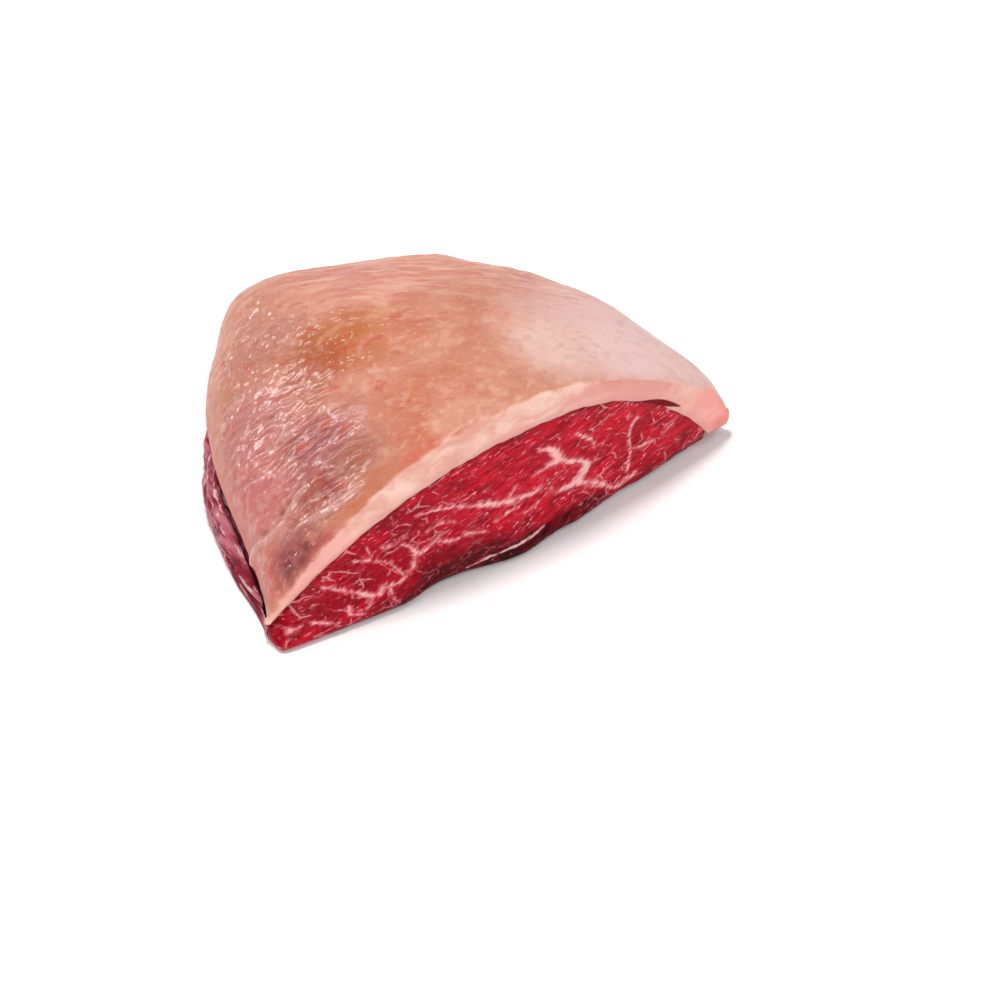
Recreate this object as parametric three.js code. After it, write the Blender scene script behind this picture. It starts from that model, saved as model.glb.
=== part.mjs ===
// Raw picanha: a beef rump cap with its fat cap on, cut straight across the thick end.
// The lean muscle lies on the board, and the fat covers it and runs out to the cut.
// Millimetres, +Z up. The cut runs along X and faces -Y, and the rounded far end points to +Y.
// Both layers are lofts of upright sections that fan out from the cut to the rim behind it.
import * as THREE from "three";

const { lerp, smoothstep } = THREE.MathUtils;

// The cut, from its left tip to its right tip, and how far its face swells forward
const CUT_LENGTH = 198;
const CUT_SWELL = 4;

// Height of the fat's top edge along the cut
const CREST = { at: 103, end: CUT_LENGTH, left: 10, peak: 66, right: 19, leftPower: 2.3, rightPower: 1.8 };
const NOSE_LENGTH = 11;
const NOSE_DROP = 0.5;

// Height of the line between fat and lean along the cut; the lean stops short of the right tip
const SEAM = { at: 110, end: 188, left: 6.3, peak: 51.5, right: 5, leftPower: 2.25, rightPower: 2.4 };

// The rim of the fat seen from above, from the left tip round the far end to the right tip
const RIM_POINTS = [
  [0, 0],
  [3.2, 7],
  [5.8, 16],
  [8.8, 34],
  [11.2, 51],
  [16, 69.5],
  [25.2, 92.5],
  [39.9, 114],
  [54, 133],
  [64, 139.6],
  [80, 140.2],
  [103, 134],
  [120, 128.4],
  [135, 121.8],
  [149, 109.5],
  [164.5, 93.5],
  [178.4, 74],
  [192.4, 29],
  [198, 0],
];
const RIM_WAVE = 0.3;
const RIM_WAVES = 3.7;

// The fat's lower edge stands high on the left side, where it is thin, and wraps low on the right
const LIP_HEIGHT_LEFT = 24;
const LIP_HEIGHT_RIGHT = 8;
const LIP_SHARE_OF_SEAM = 0.8;
const LIP_THICK_LEFT = 4.5;
const LIP_THICK_RIGHT = 9;
const LIP_THICK_SHARE = 0.4;
const LIP_ROUND = 0.3;
const LIP_EDGE_SHARES = [0.2, 0.7];
const WRAP_FROM = 0.25;
const WRAP_TO = 0.85;

// Below the fat's edge the lean draws in to a crevice and then swells out; on the left it swells most,
// and a gutter runs between the fat's edge and a loose flap of muscle
const LAYER_GAP = 0.3;
const CREVICE_DEPTH = 3;
const WALL_SWELL_LEFT = 24;
const WALL_SWELL_RIGHT = 0.5;
const WALL_FADES = [-0.1, 0.46];
const FOOT_ROUND = 4;
const FOOT_ROUND_SHARE = 0.4;
const CREVICE_SHARES = [0.6, 0.9];
const CREVICE_FADE = 20;

// The lean's wall below the crevice: share of the way out to the fat's edge, share of the swell beyond it,
// and shares of the lip's height on the left and on the right
const WALL_PROFILE = [
  [0.9, 0, 0.3, 0.75],
  [1, 0.16, 0.6, 0.6],
  [1, 0.75, 0.42, 0.4],
  [1, 1, 0.15, 0.15],
];
const WALL_SWELL_SHARE = 1.7;

// The cut face of the lean meets the fat flush and leans forward at its foot, by so much at places along
// the cut, and rounds under; its right end lifts a little
const FACE_SAG = [
  [0, 9.4],
  [44, 9.9],
  [66, 6.4],
  [96, 10],
  [118, 6.8],
  [150, 2.6],
  [188, 0],
];
const FACE_SAG_HEIGHT = 20;
const FACE_ROUND = 6;
const FACE_ROUND_SHARE = 0.3;
const FACE_TUCK = 0.9;
const FACE_SPACING = 1.4;
const FACE_FOOT = 1.4;
const FACE_LIFT = 4;
const FACE_LIFT_FROM = 0.75;

// A loose fold of muscle along the foot of the cut face, marked off by a groove that climbs to the right
const FOLD_FROM = 66;
const FOLD_TO = 140;
const FOLD_LOW = 3.4;
const FOLD_HIGH = 9.8;
const FOLD_GROOVE = 1.8;
const FOLD_GROOVE_WIDTH = 2.2;

// Roundness of the arch from the cut to the rim, and the gentle lumps of the fat's surface
const ARCH_ALONG = 2.7;
const ARCH_UP = 2;
const LUMPS = [
  { height: 0.4, length: 61, alongX: 1, alongY: 0.6, phase: 0 },
  { height: 0.3, length: 43, alongX: -0.5, alongY: 1, phase: 1.3 },
  { height: 0.2, length: 29, alongX: 1, alongY: 1, phase: 2.1 },
];

// Fineness of the lofts
const SECTIONS = 56;
const FIRST_SECTION = 0.005;
const LAST_FAT_SECTION = 0.993;
const LAST_LEAN_SECTION = 0.938;
const ARCH_STEPS = 15;
const BOTTOM_STEPS = 6;
const FACE_STEPS = 9;
const BAND_STEPS = 3;
const BAND_SWELL = 0.8;
const END_POINT = 1.5;

const rim = new THREE.CatmullRomCurve3(
  RIM_POINTS.map(([x, y]) => new THREE.Vector3(x, y, 0)),
  false,
  "catmullrom",
  0.5,
);
rim.arcLengthDivisions = 600;

// Height of a hump that falls away from its peak by a power law on each side
function hump(x, { at, end, left, peak, right, leftPower, rightPower }) {
  const onLeft = x < at;
  const share = onLeft ? (at - x) / at : Math.min((x - at) / (end - at), 1);
  const foot = onLeft ? left : right;
  return foot + (peak - foot) * (1 - share ** (onLeft ? leftPower : rightPower));
}

function crestHeight(x) {
  const pastNose = Math.max(0, (x - (CUT_LENGTH - NOSE_LENGTH)) / NOSE_LENGTH);
  return hump(x, CREST) * (1 - NOSE_DROP * pastNose ** 2);
}

function seamHeight(x) {
  return hump(x, SEAM);
}

// One upright section: from a point on the cut to the point on the rim with the same share of length
function sectionAt(share) {
  const x = share * CUT_LENGTH;
  const swell = CUT_SWELL * 4 * share * (1 - share);
  const front = new THREE.Vector3(x, -swell, 0);
  const along = rim.getPointAt(share).sub(front);
  const wave = RIM_WAVE * Math.sin(2 * Math.PI * RIM_WAVES * share) * Math.sin(share * Math.PI);
  const reach = along.length() + wave;
  const direction = along.normalize();
  const seam = seamHeight(x);
  const around = smoothstep(share, WRAP_FROM, WRAP_TO);
  const lip = Math.min(lerp(LIP_HEIGHT_LEFT, LIP_HEIGHT_RIGHT, around), LIP_SHARE_OF_SEAM * seam);
  const thick = Math.min(lerp(LIP_THICK_LEFT, LIP_THICK_RIGHT, around), LIP_THICK_SHARE * reach);
  return { x, front, direction, reach, seam, crest: crestHeight(x), lip, thick };
}

// A quarter arch, as [distance back from the cut, height], from the cut out and down to its foot
function arch(top, reach, foot) {
  return Array.from({ length: ARCH_STEPS + 1 }, (_, i) => {
    const turn = (i / ARCH_STEPS) * (Math.PI / 2);
    const back = reach * Math.sin(turn) ** (2 / ARCH_ALONG);
    return [back, foot + (top - foot) * Math.cos(turn) ** (2 / ARCH_UP)];
  });
}

// Low lumps and hollows of the fat's top, fading out at the cut's edge and at the rim
function lump(x, y) {
  return LUMPS.reduce((sum, { height, length, alongX, alongY, phase }) => {
    const turns = (alongX * x + alongY * y) / length;
    return sum + height * Math.sin(2 * Math.PI * turns + phase);
  }, 0);
}

function fatTop(section) {
  return arch(section.crest, section.reach, section.lip).map(([back, height], i) => {
    const place = section.front.clone().addScaledVector(section.direction, back);
    const fade = Math.sin((i / ARCH_STEPS) * Math.PI);
    return [back, height + fade * lump(place.x, place.y)];
  });
}

// The closed outline of the fat in one section: over the top, round the lip, back under, up the cut
function fatOutline(section) {
  const { reach, seam, crest, lip, thick } = section;
  const under = arch(seam, reach - thick, lip).reverse();
  const lipLow = lip - LIP_ROUND * thick;
  const lipEdge = LIP_EDGE_SHARES.map((share) => [reach - share * thick, lipLow]);
  const band = Array.from({ length: BAND_STEPS - 1 }, (_, i) => {
    const share = (i + 1) / BAND_STEPS;
    return [-BAND_SWELL * Math.sin(share * Math.PI), lerp(seam, crest, share)];
  });
  return [...fatTop(section), ...lipEdge, ...under, ...band];
}

// Depth of the groove above the loose fold, at a place on the cut face
function foldGroove(x, height) {
  const share = (x - FOLD_FROM) / (FOLD_TO - FOLD_FROM);
  if (share <= 0 || share >= 1) return 0;
  const line = lerp(FOLD_LOW, FOLD_HIGH, share);
  const across = (height - line) / FOLD_GROOVE_WIDTH;
  return FOLD_GROOVE * Math.sin(share * Math.PI) * Math.exp(-across * across);
}

// How far the foot of the cut face leans forward, eased from each place in its list to the next
function faceSag(x) {
  return FACE_SAG.slice(1).reduce((sum, [at, sag], i) => {
    const [before, sagBefore] = FACE_SAG[i];
    return sum + (sag - sagBefore) * smoothstep(x, before, at);
  }, FACE_SAG[0][1]);
}

// Share of the sag that is left at a height
function slump(height) {
  return Math.exp(-((height / FACE_SAG_HEIGHT) ** 2));
}

// The cut face of the lean, from its rounded foot up to the seam
function leanFace(section, top) {
  const { x, reach } = section;
  const sag = faceSag(x) / (1 - slump(top));
  const foot = FACE_FOOT + FACE_LIFT * smoothstep(x / CUT_LENGTH, FACE_LIFT_FROM, 1);
  const rows = [[Math.min(FACE_ROUND, FACE_ROUND_SHARE * reach), 0]];
  for (let i = 0; i < FACE_STEPS; i++) {
    const climb = (i / FACE_STEPS) ** FACE_SPACING;
    const height = lerp(foot, top, climb);
    const forward = sag * (slump(height) - slump(top));
    const tuck = i === 0 ? FACE_TUCK : 0;
    rows.push([tuck - forward + foldGroove(x, height), height]);
  }
  return rows;
}

// The closed outline of the lean in one section: under the fat, down the wall, along the board, up the cut
function leanOutline(section) {
  const { x, reach, seam, lip, thick } = section;
  const top = seam - LAYER_GAP;
  const inner = reach - thick - LAYER_GAP;
  const fade = smoothstep(x / CUT_LENGTH, ...WALL_FADES);
  const swell = Math.min(lerp(WALL_SWELL_LEFT, WALL_SWELL_RIGHT, fade), WALL_SWELL_SHARE * reach);
  const lipLow = lip - LIP_ROUND * thick - LAYER_GAP;
  const edge = (thick + LAYER_GAP) * (1 - fade);
  const depth = CREVICE_DEPTH * Math.min(1, inner / CREVICE_FADE);
  const crevice = [inner - depth, lerp(...CREVICE_SHARES, fade) * lipLow];
  const wall = WALL_PROFILE.map(([toEdge, beyond, left, right]) => {
    return [inner + toEdge * edge + beyond * (swell - edge), lerp(left, right, fade) * lipLow];
  });
  const face = leanFace(section, top);
  const [faceFoot] = face[0];
  const heel = inner + swell - Math.min(FOOT_ROUND, FOOT_ROUND_SHARE * inner);
  const bottom = Array.from({ length: BOTTOM_STEPS }, (_, i) => {
    return [lerp(heel, faceFoot, i / BOTTOM_STEPS), 0];
  });
  return [...arch(top, inner, lip - LAYER_GAP), crevice, ...wall, ...bottom, ...face];
}

// Joins the same outline at every section into one closed skin that comes to a low point at each end
function loft(outline, lastSection) {
  const loops = Array.from({ length: SECTIONS }, (_, j) => {
    const section = sectionAt(lerp(FIRST_SECTION, lastSection, j / (SECTIONS - 1)));
    return outline(section).map(([back, height]) => {
      const place = section.front.clone().addScaledVector(section.direction, back);
      return place.setZ(height);
    });
  });
  const count = loops[0].length;
  const lastLoop = (SECTIONS - 1) * count;
  const leftPoint = SECTIONS * count;
  const rightPoint = leftPoint + 1;
  const points = [...loops.flat(), endPoint(loops[0], -1), endPoint(loops[SECTIONS - 1], 1)];
  const faces = [];
  for (let i = 0; i < count; i++) {
    const next = (i + 1) % count;
    for (let first = 0; first < lastLoop; first += count) {
      const [a, b] = [first + i, first + next];
      faces.push(b, a, a + count, b + count, b, a + count);
    }
    faces.push(i, next, leftPoint);
    faces.push(lastLoop + next, lastLoop + i, rightPoint);
  }
  const geometry = new THREE.BufferGeometry().setFromPoints(points);
  geometry.setIndex(faces);
  geometry.computeVertexNormals();
  return geometry;
}

// The point that closes an end: the middle of its outline, moved out along the cut
function endPoint(loop, side) {
  const middle = loop.reduce((sum, point) => sum.add(point), new THREE.Vector3());
  return middle.divideScalar(loop.length).add(new THREE.Vector3(side * END_POINT, 0, 0));
}

const fatCap = new THREE.Mesh(
  loft(fatOutline, LAST_FAT_SECTION),
  new THREE.MeshStandardMaterial({ color: "#e0a48f", roughness: 0.42, metalness: 0 }),
);
fatCap.name = "fat_cap";

const lean = new THREE.Mesh(
  loft(leanOutline, LAST_LEAN_SECTION),
  new THREE.MeshStandardMaterial({ color: "#a8283a", roughness: 0.38, metalness: 0 }),
);
lean.name = "lean";

const picanha = new THREE.Group();
picanha.add(lean, fatCap);

// The origin is under the middle of the whole piece, on the board
const box = new THREE.Box3().setFromObject(picanha);
const middle = box.getCenter(new THREE.Vector3());
picanha.position.set(-middle.x, -middle.y, -box.min.z);

export default picanha;
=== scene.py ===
# Raw picanha: the looks of a beef rump cap with its fat on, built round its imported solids.
# Shapes are worked out in millimetres in the cut's own frame: X runs along the cut from its left tip,
# Y runs back from the cut, Z is up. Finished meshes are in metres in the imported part's frame.
import math
from types import SimpleNamespace

import bpy
import numpy as np
from mathutils import Matrix, Vector


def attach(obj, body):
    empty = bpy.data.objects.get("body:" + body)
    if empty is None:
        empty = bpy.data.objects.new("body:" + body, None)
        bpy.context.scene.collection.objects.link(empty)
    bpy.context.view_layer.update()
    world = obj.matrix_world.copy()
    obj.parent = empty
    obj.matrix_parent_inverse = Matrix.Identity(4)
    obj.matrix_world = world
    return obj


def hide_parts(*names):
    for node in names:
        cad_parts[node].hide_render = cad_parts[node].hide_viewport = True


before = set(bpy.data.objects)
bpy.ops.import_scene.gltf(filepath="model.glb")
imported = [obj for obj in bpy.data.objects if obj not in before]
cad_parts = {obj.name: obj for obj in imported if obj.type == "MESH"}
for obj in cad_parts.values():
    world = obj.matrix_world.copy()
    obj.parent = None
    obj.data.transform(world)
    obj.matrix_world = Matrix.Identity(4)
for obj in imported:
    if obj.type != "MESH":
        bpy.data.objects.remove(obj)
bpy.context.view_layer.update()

MM = 0.001

# The cut: its length, and how far its face swells forward
CUT_LENGTH = 198.0
CUT_SWELL = 4.0

# Heights along the cut of the fat's top edge, and of the line between fat and lean
CREST = dict(at=103, end=CUT_LENGTH, left=10, peak=66, right=19, left_power=2.3, right_power=1.8)
NOSE_LENGTH = 11
NOSE_DROP = 0.5
SEAM = dict(at=110, end=188, left=6.3, peak=51.5, right=5, left_power=2.25, right_power=2.4)

# Small waves of that line where the knife went through fibres: height, length and phase
SEAM_WAVES = ((0.22, 17.3, 0), (0.12, 6.1, 1.2))

# The rim of the fat seen from above, from the left tip round the far end to the right tip
RIM_POINTS = (
    (0, 0), (3.2, 7), (5.8, 16), (8.8, 34), (11.2, 51), (16, 69.5), (25.2, 92.5), (39.9, 114), (54, 133),
    (64, 139.6), (80, 140.2), (103, 134), (120, 128.4), (135, 121.8), (149, 109.5), (164.5, 93.5),
    (178.4, 74), (192.4, 29), (198, 0),
)
RIM_STEPS = 400
RIM_WAVE = 0.3
RIM_WAVES = 3.7

# The fat's lower edge: high and thin on the left side, low and thick on the right
LIP_HEIGHT = (24, 8)
LIP_SHARE_OF_SEAM = 0.8
LIP_THICK = (4.5, 9)
LIP_THICK_SHARE = 0.4
LIP_ROUND = 0.3
WRAP = (0.25, 0.85)

# The lean below that edge: a crevice, then a wall that swells out; on the left it swells most, and a gutter
# runs between the fat's edge and a loose flap of muscle
LAYER_GAP = 0.3
CREVICE_DEPTH = 3.0
CREVICE_SHARES = (0.6, 0.9)
CREVICE_FADE = 20
WALL_SWELL = (24, 0.5)
WALL_SWELL_SHARE = 1.7
WALL_FADES = (-0.1, 0.46)
# Its profile: share of the way out to the fat's edge, share of the swell beyond it, and shares of the lip's
# height on the left and on the right
WALL_PROFILE = ((0.9, 0, 0.3, 0.75), (1, 0.16, 0.6, 0.6), (1, 0.75, 0.42, 0.4), (1, 1, 0.15, 0.15))
# The crevice gets painted shade out to the flap, which is the second point of that profile, and its edge is
# blurred
FLAP_SHARE = WALL_PROFILE[1][1]
FLAP_BLUR = (-1.6, 0.4)
# Where its loose skin folds: heights above the floor and depths below the lip between which the folds set in
LOOSE_FROM_FLOOR = (0.5, 4)
LOOSE_BELOW_LIP = (-0.5, 2)
# Its grain is read this far from the cut face's, so that the two don't look alike
WALL_GRAIN = 40
FOOT_ROUND = 4
FOOT_ROUND_SHARE = 0.4

# The cut face of the lean: it meets the fat flush, leans forward at its foot, by so much at places along the
# cut, and rounds under
FACE_SAG = ((0, 9.4), (44, 9.9), (66, 6.4), (96, 10), (118, 6.8), (150, 2.6), (188, 0))
FACE_SAG_HEIGHT = 20
FACE_ROUND = 6
FACE_ROUND_SHARE = 0.3
FACE_TUCK = 0.9
FACE_TUCK_HEIGHT = 0.8
FACE_FOOT = 1.4
FACE_LIFT = 4
FACE_LIFT_FROM = 0.75
# A point of the foot's rounding, as distance behind the face and share of the foot's height, and the heights
# over which the look of the cut face sets in
FACE_UNDER = (2, 0.12)
FACE_FROM_FLOOR = (0.2, 1.5)

# The groove over the loose fold of muscle at the foot of the cut face, and how the painted shade on the fold
# sets in along the cut and below the groove
FOLD_FROM, FOLD_TO = 66, 140
FOLD_HEIGHT = (3.4, 9.8)
FOLD_GROOVE = 1.8
FOLD_GROOVE_WIDTH = 2.2
FOLD_STARTS = (72, 84)
FOLD_ENDS = (132, 142)
FOLD_BLUR = (-1.5, 0.5)

# Roundness of the arch from the cut to the rim, the gentle lumps of the fat's top, and how far the cut band
# swells
ARCH_ALONG = 2.7
ARCH_UP = 2
LUMPS = (
    dict(height=0.4, length=61, along_x=1, along_y=0.6, phase=0),
    dict(height=0.3, length=43, along_x=-0.5, along_y=1, phase=1.3),
    dict(height=0.2, length=29, along_x=1, along_y=1, phase=2.1),
)
BAND_SWELL = 0.8

# Fineness of the two skins: sections along the cut, rows round each part of an outline, steps between two
# points of a curve, and the margin of the texture map
FIRST_SECTION = 0.005
LAST_FAT_SECTION = 0.993
LAST_LEAN_SECTION = 0.938
FAT_SECTIONS = 400
LEAN_SECTIONS = 440
DENSE = 500
TOP_ROWS = 190
LIP_ROWS = 9
UNDER_ROWS = 12
BAND_ROWS = 24
HIDDEN_ROWS = 12
WALL_ROWS = 34
BOTTOM_ROWS = 10
FACE_ROWS = 130
END_RINGS = 4
END_POINT = 1.5
STROKE_STEPS = 6
FOOT_STEPS = 12
WALL_STEPS = 40
MAP_MARGIN = 0.01

# Fat veins in the lean's cut face: points as x, height and half width
MARBLING = (
    ((109, 40.3, 1.0), (114, 37.5, 1.4), (116.5, 34, 2.2), (116.5, 31.2, 1.8), (113, 30.6, 1.4),
     (106, 29.6, 0.5)),
    ((116.8, 31.2, 1.5), (122.9, 27.6, 1.3), (129, 24, 1.5), (128, 21, 2.2), (123.3, 18.6, 1.8),
     (115, 18, 0.5)),
    ((123.5, 18.3, 1.4), (129, 15.5, 1.1), (134, 12.6, 1.0), (140, 7.2, 0.8)),
    ((126.5, 16, 0.4), (132, 12.2, 0.5), (137, 9.2, 0.4)),
    ((152.6, 33, 0.8), (149.4, 29.5, 0.6), (149, 24, 0.5), (149.4, 19.6, 0.7), (148.4, 14, 1.1),
     (147.6, 10.2, 1.0)),
    ((149.4, 19.6, 0.5), (155, 18.5, 0.4), (160, 17.6, 0.3)),
    ((169.4, 21, 0.5), (166.6, 19.8, 0.4), (163.5, 17.6, 0.3)),
    ((125.6, 38.8, 0.7), (129.5, 35.6, 0.9), (132.4, 32, 0.7), (132.8, 29, 0.4)),
    ((58.9, 33.2, 0.5), (67.3, 32.4, 0.8), (77.5, 28.9, 0.8), (90.2, 24.6, 1.2), (98, 23, 1.1),
     (106, 22.5, 0.9), (112, 24, 0.3)),
    ((93.6, 23.4, 0.6), (96, 25.8, 0.6), (98.8, 28.2, 0.3)),
    ((100, 16.5, 0.2), (106, 18, 0.6), (113, 20.5, 0.3)),
    ((88, 18, 0.2), (92, 19.4, 0.5), (97, 20, 0.3)),
    ((50.4, 24.2, 0.4), (54, 21.8, 0.6), (55.8, 18.6, 1.0), (59.3, 17.8, 0.8), (63.6, 19.4, 0.9),
     (70.4, 17, 0.9), (76.6, 17.4, 0.6), (82.9, 15.8, 0.5)),
    ((55.8, 18.5, 0.7), (53.5, 15, 0.8), (49, 12.4, 0.9)),
    ((48.6, 12.2, 0.7), (46.6, 15.9, 0.6), (44.8, 19, 0.5), (39.2, 22.4, 0.5), (32.6, 24.7, 0.4)),
    ((49, 12.3, 0.9), (44.8, 11.3, 0.8), (40.2, 11.6, 0.9), (36.7, 10, 0.9), (32.4, 11.6, 0.9),
     (28.6, 14, 0.7), (23.4, 16.7, 0.7), (19.8, 18.8, 0.4)),
    ((41.6, 10.5, 0.6), (41.8, 6.2, 0.5), (43.6, 3.6, 0.4)),
    ((33.8, 10.2, 0.5), (32.6, 8, 0.4), (31.2, 5.6, 0.3)),
    ((25.6, 9.2, 0.6), (25.2, 6.4, 0.6), (30.3, 4.4, 0.3)),
    ((12.4, 7.8, 0.5), (16.4, 6.3, 0.4), (22, 4.8, 0.3)),
    ((3.6, 6.6, 0.3), (6, 7.2, 0.8), (8.4, 7.6, 0.5)),
    ((139, 7.6, 0.6), (143, 6, 1.1), (147.6, 6.4, 1.3), (152, 7.6, 0.8)),
    ((44, 25.5, 0.4), (49, 25, 0.5), (55, 27, 0.3)),
    ((62, 24.5, 0.3), (67, 25.5, 0.4), (73, 24, 0.3)),
)
# The white membrane that edges the loose fold
FOLD_MEMBRANE = (
    ((74, 3.6, 0.3), (78.3, 4.4, 0.45), (89.1, 5.3, 0.5), (97.6, 5.6, 0.6), (108.2, 6.6, 0.4)),
)
# A sliver of lean that runs on into the band near its right end
BAND_SLIVER = (
    ((151, 40, 1.0), (160.4, 36, 1.7), (166.6, 32.2, 1.3), (172.4, 28, 0.2)),
)
# The distance that counts as far from any stroke
FAR = 30.0

# The wrinkled membrane on the left of the fat: its left and right edges as y and x seen from above, the waves
# of those edges as reach, length and phase, how they blur, and how far it keeps from the lip and from the cut
MEMBRANE_LEFT = (
    (0, -8), (20, 2), (34, 7), (51, 10), (69, 17), (78, 22), (94, 34), (102, 42), (113, 50), (120, 57),
)
MEMBRANE_RIGHT = ((0, 40), (14, 52), (26, 55), (42, 58), (71, 67), (90, 72), (105, 70), (125, 60))
MEMBRANE_WAVES = ((3, 9, 0), (2, 4.1, 1))
MEMBRANE_LEFT_BLUR = (-2, 6)
MEMBRANE_RIGHT_BLUR = (-10, 5)
MEMBRANE_FROM_LIP = (3, 9)
MEMBRANE_FROM_CREST = (1, 6)

# Two raised creases in the membrane, as x, y and half width seen from above, and the bruise before them
CREASES = (
    ((6.5, 24.5, 0.1), (9.1, 21.4, 0.3), (13.1, 17.7, 0.4), (18.9, 17.3, 0.3), (24.7, 19.3, 0.2),
     (28.2, 19, 0)),
    ((15.1, 11.1, 0), (21.5, 10.4, 0.2), (26.6, 7.9, 0.3), (31.9, 5.7, 0.4), (37, 4.7, 0.3), (41.8, 3.9, 0)),
)
CREASE_FROM_CREST = (0, 3)
BRUISE_AT = (15, 4)
BRUISE_SIZE = (10, 7)

# The membrane is smoother before the second crease, apart from the bruise, and further back its wrinkles give
# way to bumps
BEFORE_CREASE = (-3, 0)
BEFORE_CREASE_LESS = 0.35
WRINKLES_END = (44, 66)
WRINKLES_LESS = 0.75
BUMPS_START = (54, 80)

# Folds at the far side, beyond a slanting line and right of the membrane, fine creases of the pale fat, and
# how far from the cut the relief of the top sets in
FOLDS_SLANT = 0.35
FOLDS_START = (86, 118)
FOLDS_RIGHT_OF = (60, 85)
FOLDS_FROM_CREST = (2, 8)
PALE_RIGHT_OF = (100, 130)
PALE_FROM_CREST = (5, 14)
TOP_FROM_CREST = (0, 4)

# Rows on each side of the cut's top edge that are rounded off, and how often they are eased
EDGE_ROWS = 5
EDGE_ROUNDS = 10

# The height below which the cut face rounds under and darkens, a darker maroon that is partly painted shade,
# at places along the cut
FOOT_SHADE_AT = (0, 25, 46, 60, 90, 106, 130, 145, 190)
FOOT_SHADE_HEIGHT = (-3, 0, 6, 11, 13, 9, 7, 4, 4)
FOOT_SHADE_BLUR = 3.5

# The bulge of the cut face where the marbling is thickest and palest, as x and height
BULGE_AT = (100, 20)
BULGE_SIZE = (25, 7)


# Curves


def smoothstep(x, low, high):
    share = np.clip((x - low) / (high - low), 0, 1)
    return share * share * (3 - 2 * share)


def between(pair, share):
    return pair[0] + (pair[1] - pair[0]) * share


def hump(x, at, end, left, peak, right, left_power, right_power):
    """Height of a hump that falls away from its peak by a power law on each side."""
    on_left = x < at
    share = np.where(on_left, (at - x) / at, np.minimum((x - at) / (end - at), 1))
    foot = np.where(on_left, left, right)
    return foot + (peak - foot) * (1 - np.abs(share) ** np.where(on_left, left_power, right_power))


def through(points, steps):
    """A smooth curve through points, with the same number of steps between each two."""
    points = np.asarray(points, float)
    padded = np.concatenate([[2 * points[0] - points[1]], points, [2 * points[-1] - points[-2]]])
    shape = (steps,) + (1,) * (points.ndim - 1)
    t = np.linspace(0, 1, steps, endpoint=False).reshape(shape)
    runs = []
    for a, b, c, d in zip(padded, padded[1:], padded[2:], padded[3:]):
        bend = (2 * a - 5 * b + 4 * c - d) * t**2 + (3 * b - a - 3 * c + d) * t**3
        runs.append(b + 0.5 * ((c - a) * t + bend))
    return np.concatenate(runs + [points[-1:]])


def even_rows(back, height, rows):
    """The same outline in each section, with its rows spaced evenly along it."""
    step = np.hypot(np.diff(back, axis=1), np.diff(height, axis=1))
    length = np.concatenate([np.zeros((len(back), 1)), np.cumsum(step, axis=1)], axis=1)
    even = np.empty((2, len(back), rows))
    for j in range(len(back)):
        wanted = np.linspace(0, length[j, -1], rows)
        even[0, j] = np.interp(wanted, length[j], back[j])
        even[1, j] = np.interp(wanted, length[j], height[j])
    return even


def sections_at(shares):
    """Upright sections: each from a point on the cut to the rim point with the same share of length."""
    x = shares * CUT_LENGTH
    front = np.stack([x, -CUT_SWELL * 4 * shares * (1 - shares)], -1)
    rim = through(RIM_POINTS, RIM_STEPS)
    length = np.concatenate([[0], np.cumsum(np.linalg.norm(np.diff(rim, axis=0), axis=1))])
    run = shares * length[-1]
    along = np.stack([np.interp(run, length, rim[:, k]) for k in (0, 1)], -1) - front
    distance = np.linalg.norm(along, axis=1)
    reach = distance + RIM_WAVE * np.sin(2 * np.pi * RIM_WAVES * shares) * np.sin(np.pi * shares)
    past_nose = np.maximum(0, (x - (CUT_LENGTH - NOSE_LENGTH)) / NOSE_LENGTH)
    seam = hump(x, **SEAM)
    for height, wave, phase in SEAM_WAVES:
        seam = seam + height * np.sin(2 * np.pi * x / wave + phase)
    around = smoothstep(shares, *WRAP)
    return SimpleNamespace(
        share=shares[:, None],
        x=x[:, None],
        run=run[:, None],
        front=front,
        direction=along / distance[:, None],
        reach=reach[:, None],
        seam=seam[:, None],
        crest=(hump(x, **CREST) * (1 - NOSE_DROP * past_nose**2))[:, None],
        lip=np.minimum(between(LIP_HEIGHT, around), LIP_SHARE_OF_SEAM * seam)[:, None],
        thick=np.minimum(between(LIP_THICK, around), LIP_THICK_SHARE * reach)[:, None],
    )


def arch(top, reach, foot):
    """A quarter arch from the cut out and down to its foot, and how far round it each point is."""
    turn = np.linspace(0, 1, DENSE)[None, :] ** 2 * (np.pi / 2)
    back = reach * np.sin(turn) ** (2 / ARCH_ALONG)
    height = foot + (top - foot) * np.maximum(np.cos(turn), 0) ** (2 / ARCH_UP)
    return back, height, turn / (np.pi / 2)


def lump(x, y):
    """Low lumps and hollows of the fat's top."""
    total = 0
    for wave in LUMPS:
        turns = (wave["along_x"] * x + wave["along_y"] * y) / wave["length"]
        total = total + wave["height"] * np.sin(2 * np.pi * turns + wave["phase"])
    return total


def places(section, back):
    """Where points that lie a distance back from the cut are, seen from above."""
    return section.front[:, None, :] + section.direction[:, None, :] * back[..., None]


def from_strokes(x, y, strokes):
    """Distance in millimetres from points to the edge of the nearest stroke; negative inside it."""
    nearest = np.full(x.shape, FAR)
    for stroke in strokes:
        line = through(stroke, STROKE_STEPS)
        for a, b in zip(line, line[1:]):
            span = b[:2] - a[:2]
            share = np.clip(((x - a[0]) * span[0] + (y - a[1]) * span[1]) / (span @ span), 0, 1)
            gap = np.hypot(x - a[0] - share * span[0], y - a[1] - share * span[1])
            nearest = np.minimum(nearest, gap - between((a[2], b[2]), share))
    return nearest


def round_mark(place, centre, size):
    """A mark that is full at its centre and fades away round it."""
    return np.exp(-sum(((k - at) / reach) ** 2 for k, at, reach in zip(place, centre, size)))


# The two skins, each with marks that its relief and its material read


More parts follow.
